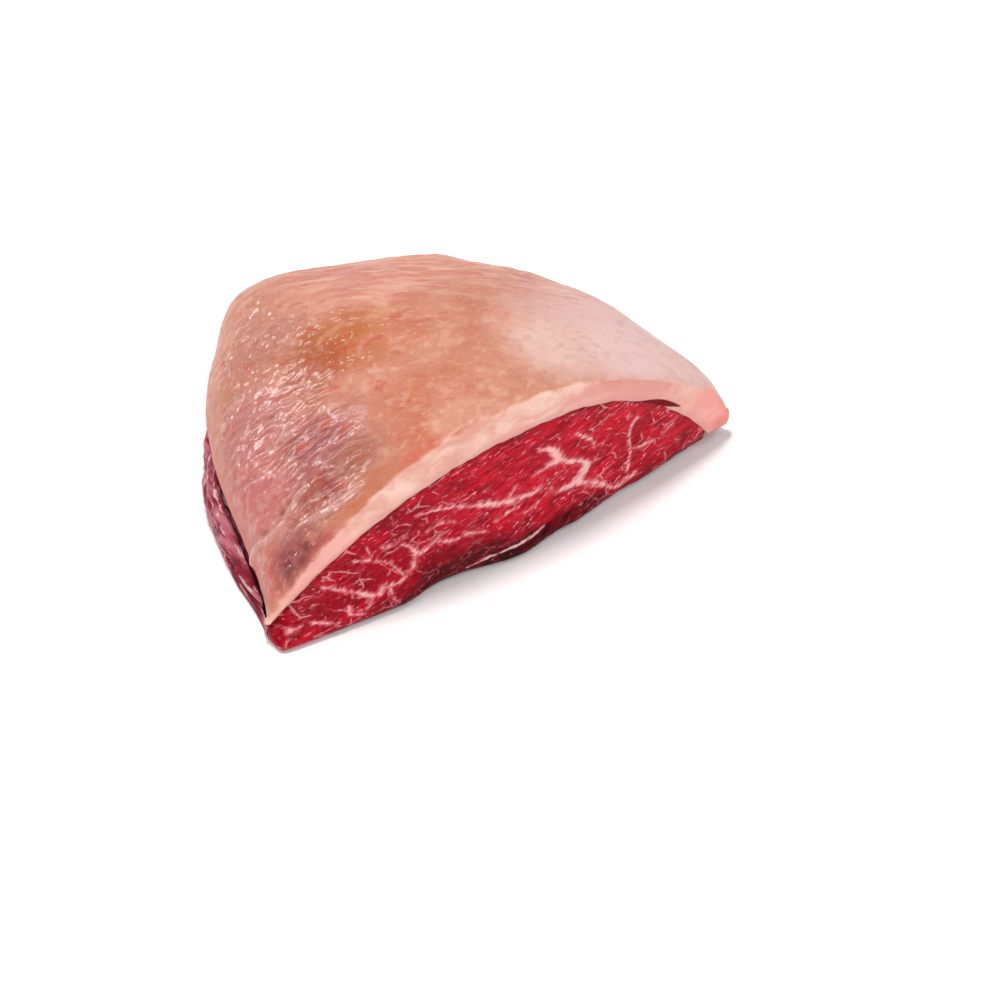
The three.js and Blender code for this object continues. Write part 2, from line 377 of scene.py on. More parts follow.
def round_edge(outline):
    """An outline with the corner between its last row and its first one rounded off."""
    rows = outline.shape[2]
    away = np.minimum(np.arange(rows), rows - np.arange(rows))
    pull = np.clip(1 - away / EDGE_ROWS, 0, 1)
    for _ in range(EDGE_ROUNDS):
        middle = (np.roll(outline, 1, axis=2) + np.roll(outline, -1, axis=2)) / 2
        outline = outline + (middle - outline) * pull
    return outline


def fat_outline(section):
    """The fat over the top, round its lip, back under and up the cut."""
    back, height, turn = arch(section.crest, section.reach, section.lip)
    spot = places(section, back)
    height = height + np.sin(turn * np.pi) * lump(spot[..., 0], spot[..., 1])
    top = even_rows(back, height, TOP_ROWS)
    swing = np.linspace(0, np.pi, LIP_ROWS + 2)[None, 1:-1]
    lip = np.stack([
        section.reach - section.thick / 2 * (1 - np.cos(swing)),
        section.lip - LIP_ROUND * section.thick * np.sin(swing),
    ])
    back, height, _ = arch(section.seam, section.reach - section.thick, section.lip)
    under = even_rows(back, height, UNDER_ROWS)[:, :, ::-1]
    share = np.linspace(0, 1, BAND_ROWS + 2)[None, 1:-1]
    band = np.stack([
        np.broadcast_to(-BAND_SWELL * np.sin(share * np.pi), (len(section.x), BAND_ROWS)),
        section.seam + (section.crest - section.seam) * share,
    ])
    back, height = round_edge(np.concatenate([top, lip, under, band], axis=2))
    return back, height, fat_marks(section, back, height, top)


def fat_marks(section, back, height, top):
    """Where the fat is cut, and where its membrane, creases, folds and bruise are."""
    row = np.arange(back.shape[1])
    on_top = row < TOP_ROWS
    on_cut = row >= TOP_ROWS + LIP_ROWS + UNDER_ROWS - 1
    step = np.hypot(np.diff(top[0], axis=1), np.diff(top[1], axis=1))
    from_crest = np.zeros_like(back)
    from_crest[:, 1:TOP_ROWS] = np.cumsum(step, axis=1)
    from_crest[:, TOP_ROWS:] = from_crest[:, TOP_ROWS - 1:TOP_ROWS]
    from_lip = from_crest[:, TOP_ROWS - 1:TOP_ROWS] - from_crest
    spot = places(section, back)
    x, y = spot[..., 0], spot[..., 1]
    sway = sum(reach * np.sin(y / length + phase) for reach, length, phase in MEMBRANE_WAVES)
    left = np.interp(y, *zip(*MEMBRANE_LEFT)) + sway / 2
    right = np.interp(y, *zip(*MEMBRANE_RIGHT)) + sway
    membrane = smoothstep(x - left, *MEMBRANE_LEFT_BLUR) * (1 - smoothstep(x - right, *MEMBRANE_RIGHT_BLUR))
    membrane = membrane * smoothstep(from_crest, *MEMBRANE_FROM_CREST)
    membrane = membrane * smoothstep(from_lip, *MEMBRANE_FROM_LIP)
    bruise = round_mark((x, y), BRUISE_AT, BRUISE_SIZE)
    crease_x, crease_y, _ = zip(*CREASES[1])
    before_crease = 1 - smoothstep(y - np.interp(x, crease_x, crease_y), *BEFORE_CREASE)
    wrinkled = membrane * (1 - BEFORE_CREASE_LESS * before_crease * (1 - bruise))
    crease = np.exp(-np.maximum(from_strokes(x, y, CREASES), 0) ** 2)
    folds = smoothstep(y + FOLDS_SLANT * x, *FOLDS_START) * smoothstep(x, *FOLDS_RIGHT_OF)
    return {
        "cut": np.broadcast_to(on_cut * 1.0, back.shape),
        "band": np.where(on_cut, (height - section.seam) / (section.crest - section.seam), 1.0),
        "top": on_top * smoothstep(from_crest, *TOP_FROM_CREST),
        "from_crest": np.where(on_cut, height - section.crest, from_crest),
        "from_lip": from_lip,
        "membrane": on_top * wrinkled,
        "wrinkled": on_top * wrinkled * (1 - WRINKLES_LESS * smoothstep(y, *WRINKLES_END)),
        "bumpy": on_top * membrane * smoothstep(y, *BUMPS_START),
        "folds": on_top * folds * smoothstep(from_crest, *FOLDS_FROM_CREST),
        "pale": on_top * smoothstep(x, *PALE_RIGHT_OF) * smoothstep(from_crest, *PALE_FROM_CREST),
        "ridge": on_top * crease * smoothstep(from_crest, *CREASE_FROM_CREST),
        "bruise": on_top * bruise,
        "sliver": np.where(on_cut, from_strokes(x, height, BAND_SLIVER), FAR),
    }


def fold_line(x):
    """How far along the loose fold points of the cut are, and the height of the groove over it there."""
    share = (x - FOLD_FROM) / (FOLD_TO - FOLD_FROM)
    return share, between(FOLD_HEIGHT, share)


def fold_groove(x, height):
    """Depth of the groove over the loose fold."""
    share, line = fold_line(x)
    across = (height - line) / FOLD_GROOVE_WIDTH
    return FOLD_GROOVE * np.sin(np.clip(share, 0, 1) * np.pi) * np.exp(-(across**2))


def lean_face(section, top):
    """The cut face of the lean, from under its rounded foot up to the seam."""
    sag = FACE_SAG[0][1]
    for (before, sag_before), (at, sag_at) in zip(FACE_SAG, FACE_SAG[1:]):
        sag = sag + (sag_at - sag_before) * smoothstep(section.x, before, at)
    foot = FACE_FOOT + FACE_LIFT * smoothstep(section.share, FACE_LIFT_FROM, 1)
    height = foot + (top - foot) * np.linspace(0, 1, DENSE)[None, :]
    back = FACE_TUCK * np.exp(-(height - foot) / FACE_TUCK_HEIGHT) + fold_groove(section.x, height)
    slump = np.exp(-((height / FACE_SAG_HEIGHT) ** 2))
    back = back - sag * (slump - slump[:, -1:]) / (1 - slump[:, -1:])
    heel = np.minimum(FACE_ROUND, FACE_ROUND_SHARE * section.reach)
    under = through([
        np.concatenate([heel, 0 * foot], 1),
        np.concatenate([back[:, :1] + FACE_UNDER[0], FACE_UNDER[1] * foot], 1),
        np.concatenate([back[:, :1], foot], 1),
    ], FOOT_STEPS)
    back = np.concatenate([under[:-1, :, 0].T, back], 1)
    height = np.concatenate([under[:-1, :, 1].T, height], 1)
    return even_rows(back, np.maximum(height, 0), FACE_ROWS)


def lean_outline(section):
    """The lean under the fat, down its wall, along the floor and up the cut."""
    top = section.seam - LAYER_GAP / 4
    inner = section.reach - section.thick - LAYER_GAP
    fade = smoothstep(section.share, *WALL_FADES)
    swell = np.minimum(between(WALL_SWELL, fade), WALL_SWELL_SHARE * section.reach)
    edge = (section.thick + LAYER_GAP) * (1 - fade)
    lip_low = section.lip - LIP_ROUND * section.thick - LAYER_GAP
    back, height, _ = arch(top, inner, section.lip - LAYER_GAP)
    hidden = even_rows(back, height, HIDDEN_ROWS)
    heel = inner + swell - np.minimum(FOOT_ROUND, FOOT_ROUND_SHARE * inner)
    profile = [(inner, section.lip - LAYER_GAP)]
    depth = CREVICE_DEPTH * np.minimum(1, inner / CREVICE_FADE)
    profile.append((inner - depth, between(CREVICE_SHARES, fade) * lip_low))
    for to_edge, beyond, left, right in WALL_PROFILE:
        out = inner + to_edge * edge + beyond * (swell - edge)
        profile.append((out, between((left, right), fade) * lip_low))
    profile.append((heel, 0 * heel))
    wall = through([np.concatenate(point, 1) for point in profile], WALL_STEPS)
    wall = even_rows(wall[:, :, 0].T, np.maximum(wall[:, :, 1].T, 0), WALL_ROWS)
    face = lean_face(section, top)
    share = np.linspace(0, 1, BOTTOM_ROWS + 2)[None, 1:-1]
    bottom = np.stack([between((heel, face[0][:, :1]), share), 0 * heel * share])
    back, height = np.concatenate([hidden, wall[:, :, 1:], bottom, face], axis=2)
    flap = inner + edge + FLAP_SHARE * (swell - edge)
    return back, height, lean_marks(section, back, height, fade, lip_low, flap)


def lean_marks(section, back, height, fade, lip_low, flap):
    """Where the cut face and wall are, the veins and bulge, and the foot, fold and crevice that get painted
    shade.
    """
    row = np.arange(back.shape[1])
    on_face = row >= len(row) - FACE_ROWS
    on_wall = (row >= HIDDEN_ROWS - 1) & ~on_face
    x = np.broadcast_to(section.x, back.shape)
    shade_line = np.interp(x, FOOT_SHADE_AT, FOOT_SHADE_HEIGHT)
    in_fold = smoothstep(x, *FOLD_STARTS) * (1 - smoothstep(x, *FOLD_ENDS))
    in_fold = in_fold * (1 - smoothstep(height - fold_line(x)[1], *FOLD_BLUR))
    loose = smoothstep(height, *LOOSE_FROM_FLOOR) * smoothstep(lip_low - height, *LOOSE_BELOW_LIP)
    return {
        "face": on_face * smoothstep(height, *FACE_FROM_FLOOR),
        "wall": np.broadcast_to(on_wall * 1.0, back.shape),
        "loose": on_wall * loose,
        # Painted shade in the crevice, out to the flap
        "crevice": on_wall * (1 - fade) * (1 - smoothstep(back - flap, *FLAP_BLUR)),
        "below_seam": np.where(on_face, section.seam - height, FAR),
        # A darker foot, partly painted shade where the face rounds under
        "foot": on_face * (1 - smoothstep(height - shade_line, -FOOT_SHADE_BLUR, FOOT_SHADE_BLUR)),
        # Painted shade on the loose fold
        "fold": on_face * in_fold,
        "vein": np.where(on_face, from_strokes(x, height, MARBLING), FAR),
        "film": np.where(on_face, from_strokes(x, height, FOLD_MEMBRANE), FAR),
        "bulge": on_face * round_mark((x, height), BULGE_AT, BULGE_SIZE),
        "grain": np.stack([
            np.where(on_face, x, section.run),
            height,
            np.broadcast_to(np.where(on_face, 0.0, WALL_GRAIN), back.shape),
        ], -1),
    }


def skin(outline, sections, last):
    """Points of a closed skin over all sections, with rounded ends, and its marks."""
    section = sections_at(np.linspace(FIRST_SECTION, last, sections))
    back, height, marks = outline(section)
    rings = np.concatenate([places(section, back), height[..., None]], -1)
    turns = np.linspace(0, np.pi / 2, END_RINGS + 1)[1:]
    ends = []
    for ring, side in ((rings[0], -1), (rings[-1], 1)):
        middle = ring.mean(0)
        out = np.array([side * END_POINT, 0, 0])
        ends.append([middle + (ring - middle) * math.cos(t) + out * math.sin(t) for t in turns[:-1]])
        ends.append((middle + out)[None])
    rings = np.concatenate([ends[0][::-1], rings, ends[2]])
    points = np.concatenate([rings.reshape(-1, 3), ends[1], ends[3]])
    wide = {}
    for name, mark in marks.items():
        first = np.repeat(mark[:1], END_RINGS - 1, 0)
        final = np.repeat(mark[-1:], END_RINGS - 1, 0)
        flat = np.concatenate([first, mark, final])
        tips = np.stack([flat[0].mean(0), flat[-1].mean(0)])
        wide[name] = np.concatenate([flat.reshape(-1, *flat.shape[2:]), tips])
    if "grain" in wide:
        # On the rounded ends the grain is read from the points themselves
        at_end = np.ones(len(points), bool)
        at_end[(END_RINGS - 1) * rings.shape[1]:(END_RINGS - 1 + sections) * rings.shape[1]] = False
        wide["grain"][at_end] = points[at_end][:, [0, 2, 1]]
    return SimpleNamespace(points=points, marks=wide, rings=len(rings), rows=rings.shape[1])


def skin_mesh(name, shell, middle):
    """A mesh of a skin, in metres in the part's frame, with its marks and a map for its textures."""
    rings, rows = shell.rings, shell.rows
    ring, row = np.meshgrid(np.arange(rings - 1), np.arange(rows), indexing="ij")
    after = (row + 1) % rows
    low, high = ring * rows, (ring + 1) * rows
    quads = np.stack([low + after, low + row, high + row, high + after], -1).reshape(-1, 4)
    across = np.stack([ring, ring, ring + 1, ring + 1], -1).reshape(-1, 4) / (rings - 1)
    up = np.stack([row + 1, row, row, row + 1], -1).reshape(-1, 4) / rows
    here = np.arange(rows)
    beside = (here + 1) % rows
    last = (rings - 1) * rows
    left = np.stack([here, beside, np.full(rows, rings * rows)], -1)
    right = np.stack([last + beside, last + here, np.full(rows, rings * rows + 1)], -1)
    mesh = bpy.data.meshes.new(name)
    mesh.from_pydata((shell.points - middle) * MM, [], quads.tolist() + left.tolist() + right.tolist())
    corner = np.stack([here, here + 1, here + 0.5], -1) / rows
    u = np.concatenate([
        MAP_MARGIN + (1 - 2 * MAP_MARGIN) * across.ravel(),
        np.tile([MAP_MARGIN, MAP_MARGIN, 0], rows),
        np.tile([1 - MAP_MARGIN, 1 - MAP_MARGIN, 1], rows),
    ])
    v = np.concatenate([up.ravel(), corner.ravel(), corner[:, [1, 0, 2]].ravel()])
    uv = mesh.uv_layers.new(name="OFBake")
    uv.data.foreach_set("uv", np.stack([u, v], -1).ravel())
    for mark, values in shell.marks.items():
        kind, field = ("FLOAT_VECTOR", "vector") if values.ndim == 2 else ("FLOAT", "value")
        mesh.attributes.new(mark, kind, "POINT").data.foreach_set(field, values.astype(np.float32).ravel())
    mesh.polygons.foreach_set("use_smooth", np.ones(len(mesh.polygons), bool))
    mesh.update()
    return mesh


# Nodes: kinds and settings that come up often, and sockets that are known by their place alone

MATH = "ShaderNodeMath"
VECTOR = "ShaderNodeVectorMath"
RANGE = "ShaderNodeMapRange"
NOISE = "ShaderNodeTexNoise"
MAPPING = "ShaderNodeMapping"
ATTRIBUTE = "ShaderNodeAttribute"
COORDINATES = "ShaderNodeTexCoord"
MARK = "GeometryNodeInputNamedAttribute"
ADD, SUBTRACT, MULTIPLY, MULTIPLY_ADD, DIVIDE, SCALE, MAXIMUM = (
    {"operation": name}
    for name in ("ADD", "SUBTRACT", "MULTIPLY", "MULTIPLY_ADD", "DIVIDE", "SCALE", "MAXIMUM")
)
SMOOTH = {"interpolation_type": "SMOOTHSTEP"}
SEEDED = {"noise_dimensions": "4D"}
SIZED = {"vector_type": "TEXTURE"}
SCALE_BY = 3
MIX_UNDER, MIX_TOP, MIXED = 6, 7, 2
NOISE_VECTOR = 1
MARK_VECTOR, MARK_NUMBER = 1, 2
OBJECT_PLACE = 3
LENGTH_OUT = 1


def connect(tree, node, inputs):
    """Gives sockets of a node their values or links."""
    for key, value in inputs.items():
        if isinstance(value, bpy.types.NodeSocket):
            tree.links.new(value, node.inputs[key])
        else:
            node.inputs[key].default_value = value


def add(tree, kind, settings, inputs, out=0):
    """Adds one node with its settings and what its sockets take, and gives its output."""
    node = tree.nodes.new(kind)
    for name, value in settings.items():
        setattr(node, name, value)
    connect(tree, node, inputs)
    return node.outputs[out] if len(node.outputs) else None


def strayed(tree, place, length, reach, detail=3.0, unit=MM):
    """Places moved about by noise, over a length and by a reach in mm, so that lines and edges wander."""
    noise = {"Vector": place, "Scale": 1 / (length * unit), "Detail": detail}
    stray = add(tree, NOISE, {}, noise, NOISE_VECTOR)
    stray = add(tree, VECTOR, SUBTRACT, {0: stray, 1: (0.5, 0.5, 0.5)})
    stray = add(tree, VECTOR, SCALE, {0: stray, SCALE_BY: reach * unit})
    return add(tree, VECTOR, ADD, {0: place, 1: stray})


# Relief of the skins: each layer has a name, height in mm, kind, sizes in mm, turn in degrees, mark and seed
FAT_RELIEF = (
    ("Lump", 1.4, "soft", (26, 22, 26), 0, "top", 1),
    ("Dimple", 0.6, "soft", (4.2, 3.4, 4), 20, "top", 2),
    ("Big wrinkle", 0.75, "crest", (20, 6, 20), -16, "wrinkled", 3),
    ("Wrinkle", 0.65, "crest", (10, 2.8, 10), -8, "wrinkled", 4),
    ("Pucker", 0.9, "soft", (3.4, 2.6, 3.4), -6, "membrane", 5),
    ("Bump", 2.6, "soft", (3, 2.5, 3), 10, "bumpy", 14),
    ("Bruise", 3.2, "soft", (4.2, 3.6, 4.2), 20, "bruise", 12),
    ("Pale crease", 0.3, "crest", (16, 3.4, 10), -30, "pale", 13),
    ("Fold", 0.7, "crest", (20, 4.2, 10), -33, "folds", 6),
    ("Band swell", 0.4, "soft", (15, 9, 5), 0, "cut", 7),
)
LEAN_RELIEF = (
    ("Bundle", -0.35, "crest", (9, 4.2, 8), 14, "face", 8),
    ("Fibre", 0.35, "soft", (4.5, 1.6, 4), 12, "face", 9),
    ("Wall fold", 1.5, "crest", (22, 3.6, 8), 4, "loose", 10),
    ("Wall pucker", 0.9, "soft", (6, 1.7, 4), 0, "loose", 11),
)

# Raised lines: name, height in mm, mark, and the values of the mark where the line starts and is full
FAT_LINES = (
    ("Ridge", 0.9, "ridge", 0, 1),
)
LEAN_LINES = (
    ("Vein", 0.35, "vein", 0.6, -0.4),
    ("Membrane line", 0.5, "film", 0.5, -0.3),
)

# How far, and over what length, the lines of the relief stray from straight
STRAY = 4.0
STRAY_LENGTH = 17.0
STRAY_DETAIL = 2.0

# Crests are this wide in the noise; they come and go over this length, down to this share of their height
CREST_WIDTH = 0.16
CREST_PATCH = 15.0
CREST_PATCH_LEVELS = (0.38, 0.6)
CREST_LEAST = 0.3

# How far two seeds lie apart in the noise, and how much the relief's noise is bent
RELIEF_SEED = 7.3
RELIEF_BEND = 0.35


def relief_tree(name, layers, lines, place_mark):
    """Pushes a skin out along its normals, by noise where its marks are set and by raised lines."""
    tree = bpy.data.node_groups.new(name, "GeometryNodeTree")
    sockets = [("Geometry", "INPUT", "Geometry"), ("Geometry", "OUTPUT", "Geometry")]
    sockets += [(label + " height", "INPUT", "Float") for label, *_ in (*layers, *lines)]
    sockets += [("Material", "INPUT", "Material")]
    for label, side, kind in sockets:
        tree.interface.new_socket(label, in_out=side, socket_type="NodeSocket" + kind)
    given = tree.nodes.new("NodeGroupInput").outputs
    if place_mark:
        place = add(tree, MARK, {"data_type": "FLOAT_VECTOR"}, {"Name": place_mark})
    else:
        place = add(tree, "GeometryNodeInputPosition", {}, {})
        place = add(tree, VECTOR, SCALE, {0: place, SCALE_BY: 1 / MM})
    place = strayed(tree, place, STRAY_LENGTH, STRAY, STRAY_DETAIL, unit=1)
    patchy = add(tree, NOISE, {}, {"Vector": place, "Scale": 1 / CREST_PATCH, "Detail": 1.0})
    low, high = CREST_PATCH_LEVELS
    patchy = add(tree, RANGE, SMOOTH, {0: patchy, 1: low, 2: high, 3: CREST_LEAST, 4: 1.0})
    total = 0.0
    crests = 0.0
    for label, _, kind, sizes, turn, mark, seed in layers:
        height = given[label + " height"]
        turned = add(tree, "ShaderNodeVectorRotate", {"rotation_type": "Z_AXIS"}, {
            "Vector": place, "Angle": math.radians(-turn)})
        sized = add(tree, VECTOR, DIVIDE, {0: turned, 1: sizes})
        level = add(tree, NOISE, SEEDED, {
            "Vector": sized, "W": seed * RELIEF_SEED, "Scale": 1.0, "Detail": 2.0, "Distortion": RELIEF_BEND})
        level = add(tree, MATH, SUBTRACT, {0: level, 1: 0.5})
        if kind == "crest":
            level = add(tree, MATH, {"operation": "ABSOLUTE"}, {0: level})
            level = add(tree, RANGE, SMOOTH, {0: level, 1: 0.0, 2: CREST_WIDTH, 3: 0.5, 4: -0.5})
            level = add(tree, MATH, MULTIPLY, {0: level, 1: patchy})
        where = add(tree, MARK, {"data_type": "FLOAT"}, {"Name": mark})
        part = add(tree, MATH, MULTIPLY, {0: level, 1: where})
        total = add(tree, MATH, MULTIPLY_ADD, {0: part, 1: height, 2: total})
        if kind == "crest":
            crests = add(tree, MATH, MULTIPLY_ADD, {0: part, 1: height, 2: crests})
    for label, _, mark, start, full in lines:
        where = add(tree, MARK, {"data_type": "FLOAT"}, {"Name": mark})
        where = add(tree, RANGE, SMOOTH, {0: where, 1: start, 2: full})
        total = add(tree, MATH, MULTIPLY_ADD, {0: where, 1: given[label + " height"], 2: total})
    metres = add(tree, MATH, MULTIPLY, {0: total, 1: MM})
    out = add(tree, "GeometryNodeInputNormal", {}, {})
    shift = add(tree, VECTOR, SCALE, {0: out, SCALE_BY: metres})
    moved = add(tree, "GeometryNodeSetPosition", {}, {"Geometry": given["Geometry"], "Offset": shift})
    marked = add(tree, "GeometryNodeStoreNamedAttribute", {"data_type": "FLOAT", "domain": "POINT"}, {
        "Geometry": moved, "Name": "crests", "Value": crests})
    whole = add(tree, "GeometryNodeRealizeInstances", {}, {"Geometry": marked})
    dressed = add(tree, "GeometryNodeSetMaterial", {}, {"Geometry": whole, "Material": given["Material"]})
    add(tree, "NodeGroupOutput", {}, {"Geometry": dressed})
    return tree


def put(name, data):
    """A new object in the scene."""
    made = bpy.data.objects.new(name, data)
    bpy.context.scene.collection.objects.link(made)
    return made


def relieved(name, mesh, layers, lines, place_mark, material):
    """A piece whose mesh is a skin with its relief on it."""
    rough = put(name + "_skin", mesh)
    modifier = rough.modifiers.new("Relief", "NODES")
    modifier.node_group = relief_tree(name + " relief", layers, lines, place_mark)
    values = {label + " height": float(height) for label, height, *_ in (*layers, *lines)}
    values["Material"] = material
    for socket in modifier.node_group.interface.items_tree:
        if socket.name in values:
            modifier[socket.identifier] = values[socket.name]
    evaluated = rough.evaluated_get(bpy.context.evaluated_depsgraph_get())
    fine = bpy.data.meshes.new_from_object(evaluated)
    fine.name = name
    bpy.data.objects.remove(rough)
    bpy.data.meshes.remove(mesh)
    return put(name, fine)


# Materials

# How far two seeds lie apart in the noise, the rim of a patch as shares of its radii, and the radius in mm
# beyond which a patch counts as wide
PATTERN_SEED = 5.7
PATCH_RIM = (1.15, 0.3)
WIDE_PATCH = 15


def srgb(code):
    """A linear colour from an sRGB hex value."""
    levels = [int(code[i:i + 2], 16) / 255 for i in (1, 3, 5)]
    return [c / 12.92 if c <= 0.04045 else ((c + 0.055) / 1.055) ** 2.4 for c in levels] + [1.0]


def pattern(tree, place, sizes, levels, seed, turn=0, detail=2):
    """A mask from noise of sizes in mm, turned about the upright, that sets in between two levels."""
    sized = add(tree, MAPPING, SIZED, {
        "Vector": place, "Rotation": (0, 0, math.radians(turn)), "Scale": [k * MM for k in sizes]})
    level = add(tree, NOISE, SEEDED, {
        "Vector": sized, "W": seed * PATTERN_SEED, "Scale": 1.0, "Detail": detail})
    return add(tree, RANGE, SMOOTH, {0: level, 1: levels[0], 2: levels[1]})


def patch(tree, place, centre, radii, turn=0, origin=(0, 0, 0)):
    """A soft-edged mask round a place, in mm, for a pattern whose zero lies at an origin."""
    near = add(tree, MAPPING, SIZED, {
        "Vector": place, "Location": [float(at - zero) * MM for at, zero in zip(centre, origin)],
        "Rotation": (0, 0, math.radians(turn)), "Scale": [k * MM for k in radii]})
    gap = add(tree, VECTOR, {"operation": "LENGTH"}, {0: near}, LENGTH_OUT)
    return add(tree, RANGE, SMOOTH, {0: gap, 1: PATCH_RIM[0], 2: PATCH_RIM[1]})


def over(tree, under, colour, masks, strength=1.0):
    """Lays a colour over another one, each a hex value or a socket, where all the masks are set."""
    share = masks[0]
    for mask in (*masks[1:], strength):
        share = add(tree, MATH, MULTIPLY, {0: share, 1: mask})
    under, top = (srgb(k) if isinstance(k, str) else k for k in (under, colour))
    colours = {0: share, MIX_UNDER: under, MIX_TOP: top}
    return add(tree, "ShaderNodeMix", {"data_type": "RGBA"}, colours, MIXED)


def lay(tree, colour, layers, field):
    """Lays layers over a colour, each a hex value or a colour of the field, where all its masks are set."""
    for code, strength, *masks in layers:
        colour = over(tree, colour, field.get(code, code), [field[name] for name in masks], strength)
    return colour


def lay_patches(tree, colour, patches, wide_ground, small_ground, origin):
    """Lays patches over a colour, with the edges of wide ones on one ground and of small ones on another."""
    for code, centre, radii, turn, strength in patches:
        ground = wide_ground if max(radii) > WIDE_PATCH else small_ground
        colour = over(tree, colour, code, [patch(tree, ground, centre, radii, turn, origin)], strength)
    return colour


def add_patterns(tree, field, patterns):
    """Adds named patterns to a field of masks, each with its ground first."""
    for name, (ground, *how) in patterns.items():
        field[name] = pattern(tree, field[ground], *how)


def add_ranges(tree, field, fades, spans):
    """Adds masks that set in smoothly from one value of another mask to a second one, and values that run
    evenly from one number to another as a mask goes from 0 to 1."""
    for name, (source, start, full) in fades.items():
        field[name] = add(tree, RANGE, SMOOTH, {0: field[source], 1: start, 2: full})
    for name, (source, low, high) in spans.items():
        field[name] = add(tree, RANGE, {}, {0: field[source], 3: low, 4: high})


def new_material(name, marks=()):
    """A material with its shader, and a field of the marks that it reads from its skin."""
    material = bpy.data.materials.new(name)
    material.use_nodes = True
    tree = material.node_tree
    field = {mark: add(tree, ATTRIBUTE, {"attribute_name": mark}, {}, MARK_NUMBER) for mark in marks}
    return material, tree, tree.nodes["Principled BSDF"], field


# Patches of the fat's top: colour, place in the cut's frame, radii, turn and strength
FAT_PATCHES = (
    ("#e0a08c", (105, 95, 54), (60, 30, 30), 0, 0.8),
    ("#ca8770", (60, 108, 48), (30, 24, 24), 0, 0.8),
    ("#b0606a", (86, 106, 51), (16, 5, 6), -32, 0.75),
    ("#c4606a", (101, 98, 53), (8, 4, 5), -32, 0.6),
    # The pale lilac patches on the right are the fat's paler tone and partly a painted sheen, the broad
    # reflection of the pale surroundings
    ("#e2bab7", (168, 15, 46), (50, 90, 60), 0, 0.95),
    ("#e8c4c1", (160, 8, 50), (26, 26, 30), 0, 0.6),
    ("#dfb9ae", (130, 21, 61.5), (21, 27, 18), 0, 0.95),
    ("#bc6a4c", (72, 16, 63), (26, 18, 20), 0, 0.8),
    ("#ba603c", (69, 4.5, 62), (18, 9, 14), 0, 0.8),
    ("#c67f69", (98, 6, 65), (20, 12, 16), 0, 0.5),
    ("#d69a86", (122, 38, 62.5), (12, 12, 12), 0, 0.6),
    ("#d09a80", (80, 4.3, 64.3), (13, 8, 9), 0, 0.6),
    ("#c07a4c", (76, 60, 61), (18, 18, 22), 0, 0.6),
    ("#cf9468", (86, 69, 61.5), (14, 7, 10), -33, 0.5),
    ("#b4622c", (69, 66, 60.5), (17, 15, 20), 0, 0.9),
    ("#b86640", (70, 51, 62), (12, 11, 12), 0, 0.6),
    ("#a84e18", (57, 61, 58), (15, 15, 20), 40, 0.9),
    ("#a85a40", (48, 54, 56), (12, 12, 12), 0, 0.8),
    ("#b4683c", (77, 75, 60), (10, 9, 10), 0, 0.5),
    ("#c27260", (84, 89, 57), (14, 9, 10), -32, 0.5),
    ("#c5705a", (86, 53, 63), (12, 12, 16), 0, 0.4),
    ("#b77468", (50, 88, 51), (18, 18, 16), 0, 0.6),
    ("#bb7474", (26, 55, 43), (24, 22, 24), 0, 0.8),
    ("#a05356", (37, 26, 50), (26, 20, 24), 0, 0.85),
    ("#c66c6c", (17, 31, 34), (18, 26, 22), 0, 0.9),
    ("#9a3c33", (28, 14, 43), (18, 11, 16), 0, 0.85),
    ("#9c4c48", (36, 33, 50), (12, 10, 12), 0, 0.4),
    ("#c45c50", (7, 8, 20), (9, 18, 14), 0, 0.9),
    ("#b5747c", (100, 108, 49), (14, 5, 8), 0, 0.3),
    ("#b06a50", (48.3, 12.2, 55), (14, 11, 11), 0, 0.8),
)

# Stains over the membrane and along the cut's edge, given in the same way
FAT_STAINS = (
    ("#a04a4c", (14, 4.5, 29.5), (15, 10, 13), 25, 0.85),
    ("#7c3432", (17, 1.5, 31.5), (6, 3.5, 6), 25, 0.7),
    ("#a25d4a", (47, 14, 54), (13, 11, 11), 0, 0.6),
    ("#84403c", (11, 5, 26.5), (5, 3, 5), 25, 0.6),
    ("#b5474a", (24, -1.5, 36), (10, 6, 10), 0, 0.8),
    ("#bd6440", (37, -0.5, 47), (12, 5, 9), 0, 0.65),
    ("#b4603f", (49, 1, 54), (13, 8, 9), 0, 0.75),
    ("#c4523c", (62, -3, 59.3), (12, 5, 8), 0, 0.75),
)

# Patches of the cut band, given in the same way
BAND_PATCHES = (
    ("#eaa59b", (22, -3, 26), (26, 12, 20), 0, 0.8),
    ("#dd9289", (150, -4, 46), (40, 12, 20), 0, 0.85),
    ("#ec998f", (192, -1, 18), (24, 16, 24), 0, 0.8),
    ("#ee8a6c", (197, -1, 22), (6, 8, 13), 0, 0.75),
    ("#dd6258", (194, -2, 8), (8, 8, 7), 0, 0.6),
)

